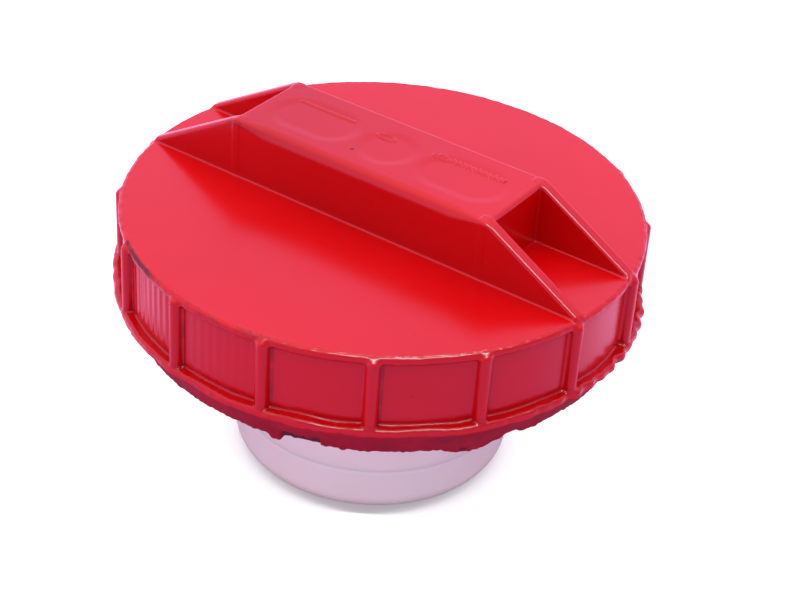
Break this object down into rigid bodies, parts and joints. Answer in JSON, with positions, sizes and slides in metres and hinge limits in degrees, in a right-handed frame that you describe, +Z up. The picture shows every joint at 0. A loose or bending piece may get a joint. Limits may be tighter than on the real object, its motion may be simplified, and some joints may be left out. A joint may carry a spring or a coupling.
{
  "type": "fuel filler cap",
  "caption": "Round screw-in filler cap for a vehicle fuel tank: ribbed turn-knob with a raised grip bar, ratcheting onto a threaded, vented plug.",
  "frame": {"origin": "centre of the plug's flat foot, the lowest face, on the cap's axis", "axes": "+Z up along the cap's axis, from the plug's foot to the grip bar; +X along the grip bar; +Y across it"},
  "size_m": [0.082, 0.082, 0.0523],
  "materials": {
    "red_shell": "glossy moulded plastic",
    "red_ring": "satin moulded plastic",
    "white_plug": "natural translucent plastic",
    "acetal": "satin",
    "black_acetal": "satin",
    "black_rubber": "matte",
    "spring_steel": "drawn wire and strip",
    "pressed_steel": "zinc plated",
    "screw_steel": "zinc plated",
    "ball_steel": "polished",
    "filter_felt": "pressed fibre"
  },
  "bodies": {
    "closure": {"threaded_closure": "white_plug", "neck_gasket": "black_rubber", "bottom_cover": "white_plug", "valve_seat_plate": "acetal", "seat_o_ring": "black_rubber", "seat_screws": "screw_steel", "ball_cage": "black_acetal", "vent_filter": "filter_felt", "filter_ring": "acetal", "pressure_spring": "spring_steel"},
    "knob": {"outer_shell": "red_shell", "retainer_ring": "red_ring", "pawl_ring": "acetal", "wave_washer": "spring_steel"},
    "pressure_valve": {"pressure_valve_plate": "pressed_steel", "pressure_valve_seal": "black_rubber", "vacuum_spring": "spring_steel"},
    "vacuum_valve": {"vacuum_valve_stem": "black_acetal", "vacuum_valve_seal": "black_rubber", "vacuum_stem_clip": "spring_steel"},
    "ball": {"rollover_ball": "ball_steel"}
  },
  "joints": [
    {"name": "knob_turn", "type": "hinge", "parent": "closure", "child": "knob", "pos_m": [0, 0, 0.0402], "axis": [0, 0, 1], "continuous": true},
    {"name": "pressure_valve_lift", "type": "slide", "parent": "closure", "child": "pressure_valve", "axis": [0, 0, 1], "range_m": [0, 0.0015], "stiffness_N_per_m": 300, "springref_m": -0.004, "deforming": ["pressure_spring"]},
    {"name": "vacuum_valve_drop", "type": "slide", "parent": "pressure_valve", "child": "vacuum_valve", "axis": [0, 0, -1], "range_m": [0, 0.0012], "stiffness_N_per_m": 80, "springref_m": -0.0025, "deforming": ["vacuum_spring"]},
    {"name": "ball_travel", "type": "slide", "parent": "closure", "child": "ball", "axis": [0, 0, 1], "range_m": [0, 0.002]}
  ]
}
